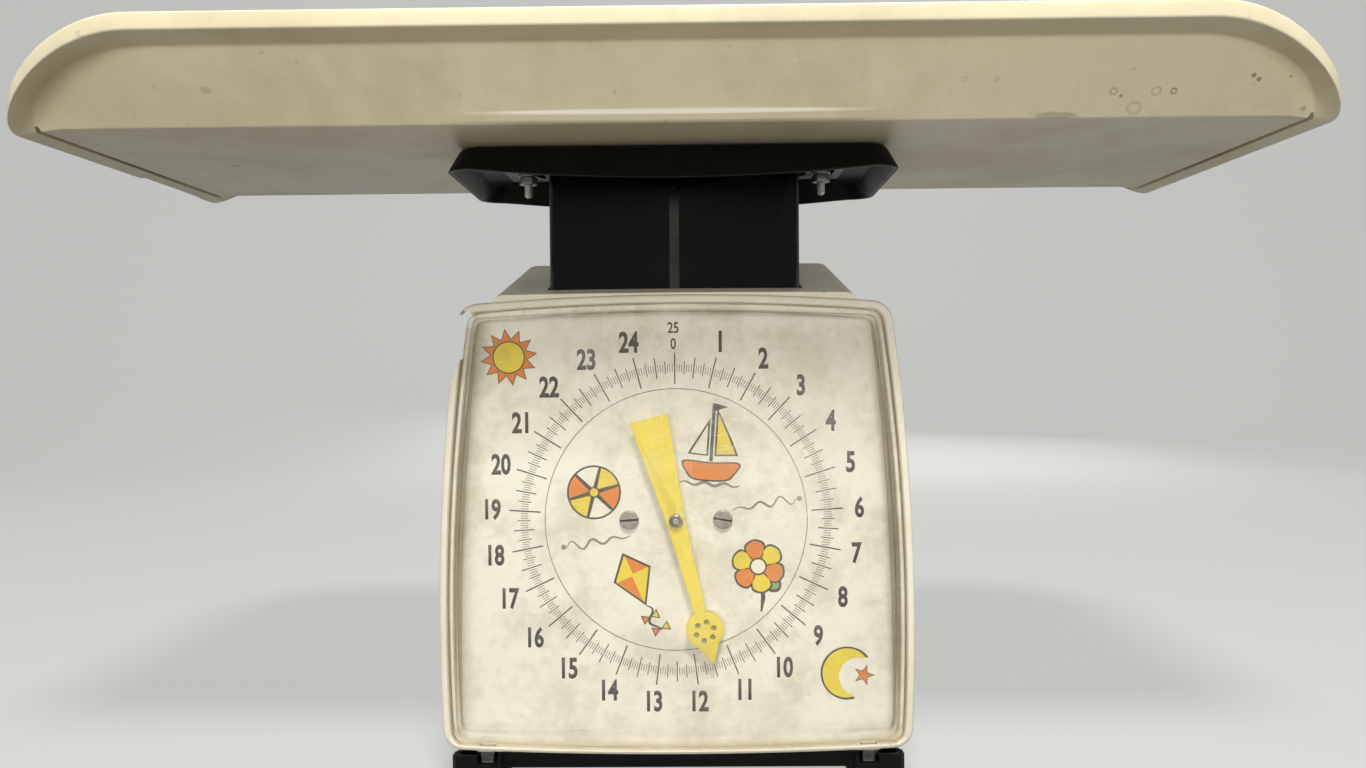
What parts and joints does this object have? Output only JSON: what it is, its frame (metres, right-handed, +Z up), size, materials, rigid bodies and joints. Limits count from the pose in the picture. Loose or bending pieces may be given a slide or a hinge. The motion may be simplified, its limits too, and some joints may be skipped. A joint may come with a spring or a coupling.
{
  "type": "nursery scale",
  "caption": "Spring dial scale for babies: a trough-shaped plastic tray on a sliding column, over a housing with a round dial, a pointer behind a clear cover and a zero wheel at the back.",
  "frame": {"origin": "on the surface it stands on, under the middle of the tray and the column's axis", "axes": "+X along the tray to the right seen from the dial side, +Z up, and the dial faces -Y"},
  "size_m": [0.546, 0.258, 0.332],
  "materials": {
    "cream_housing": "moulded, cream",
    "cream_tray": "moulded, cream, slightly aged",
    "clear_plastic": "clear moulding",
    "dial_card": "off-white printed plate",
    "black_plastic": "moulded, black",
    "black_paint": "satin black",
    "yellow_paint": "yellow enamel",
    "rubber": "black rubber",
    "brass": "cut brass",
    "steel": "bare steel",
    "zinc_plate": "zinc plated"
  },
  "bodies": {
    "case": {"housing": "cream_housing", "lens": "clear_plastic", "dial_plate": "dial_card", "base_pan": "black_plastic", "foot_front_left": "rubber", "foot_front_right": "rubber", "foot_rear_left": "rubber", "foot_rear_right": "rubber", "overload_stop": "rubber", "pointer_bush": "brass", "mechanism_frame": "steel", "front_plate": "steel", "bearing_bracket": "steel", "spring_bridge": "steel", "dial_post_left": "steel", "dial_post_right": "steel", "housing_screw_front_left": "zinc_plate", "housing_screw_front_right": "zinc_plate", "housing_screw_rear_left": "zinc_plate", "housing_screw_rear_right": "zinc_plate", "dial_screw_left": "zinc_plate", "dial_screw_right": "zinc_plate", "frame_screw_left": "zinc_plate", "frame_screw_right": "zinc_plate", "plate_screw_left": "zinc_plate", "plate_screw_right": "zinc_plate", "bridge_screw_left": "zinc_plate", "bridge_screw_right": "zinc_plate", "upper_pivot_rod": "zinc_plate", "lower_pivot_rod": "zinc_plate"},
    "platform": {"tray": "cream_tray", "tray_support": "black_plastic", "tray_bolt_left": "zinc_plate", "tray_bolt_right": "zinc_plate", "tray_washer_left": "zinc_plate", "tray_washer_right": "zinc_plate", "tray_nut_left": "zinc_plate", "tray_nut_right": "zinc_plate", "column": "black_paint", "spring_carriage": "steel", "carriage_rivet_left": "zinc_plate", "carriage_rivet_right": "zinc_plate", "rack": "brass", "rack_screw_lower": "zinc_plate", "rack_screw_upper": "zinc_plate"},
    "dial_hand": {"pointer": "yellow_paint", "pointer_hub": "steel", "pointer_shaft": "steel", "pinion": "brass"},
    "upper_link": {"upper_lever": "steel", "upper_lever_rod": "zinc_plate"},
    "lower_link": {"lower_lever": "steel", "lower_lever_rod": "zinc_plate"},
    "thumbwheel": {"zero_wheel": "black_plastic"},
    "hanger": {"zero_screw": "zinc_plate", "spring_yoke": "steel", "main_spring_left": "steel", "main_spring_right": "steel"}
  },
  "joints": [
    {"name": "platform_travel", "type": "slide", "parent": "case", "child": "platform", "axis": [0, 0, 1], "range_m": [-0.0108, 0.0092], "stiffness_N_per_m": 5562, "springref_m": 0.00268, "deforming": ["main_spring_left", "main_spring_right"]},
    {"name": "hand_turn", "type": "hinge", "parent": "case", "child": "dial_hand", "pos_m": [0, -0.044, 0.124], "axis": [0, 1, 0], "range_deg": [-165.7, 194.5]},
    {"name": "upper_link_swing", "type": "hinge", "parent": "case", "child": "upper_link", "pos_m": [0, 0.067, 0.19], "axis": [1, 0, 0], "range_deg": [-9.3, 10.9]},
    {"name": "lower_link_swing", "type": "hinge", "parent": "case", "child": "lower_link", "pos_m": [0, 0.067, 0.081], "axis": [1, 0, 0], "range_deg": [-9.3, 10.9]},
    {"name": "zero_wheel_turn", "type": "hinge", "parent": "case", "child": "thumbwheel", "pos_m": [0, 0.057, 0.2186], "axis": [0, 0, 1], "range_deg": [-361, 361]},
    {"name": "hanger_shift", "type": "slide", "parent": "case", "child": "hanger", "axis": [0, 0, 1], "range_m": [-0.00125, 0.00125]}
  ],
  "couplings": [
    {"joint": "hand_turn", "follows": "platform_travel", "rad_per_m": -314.16},
    {"joint": "upper_link_swing", "follows": "platform_travel", "rad_per_m": -17.544},
    {"joint": "lower_link_swing", "follows": "platform_travel", "rad_per_m": -17.544},
    {"joint": "zero_wheel_turn", "follows": "hanger_shift", "rad_per_m": 5026.5}
  ]
}
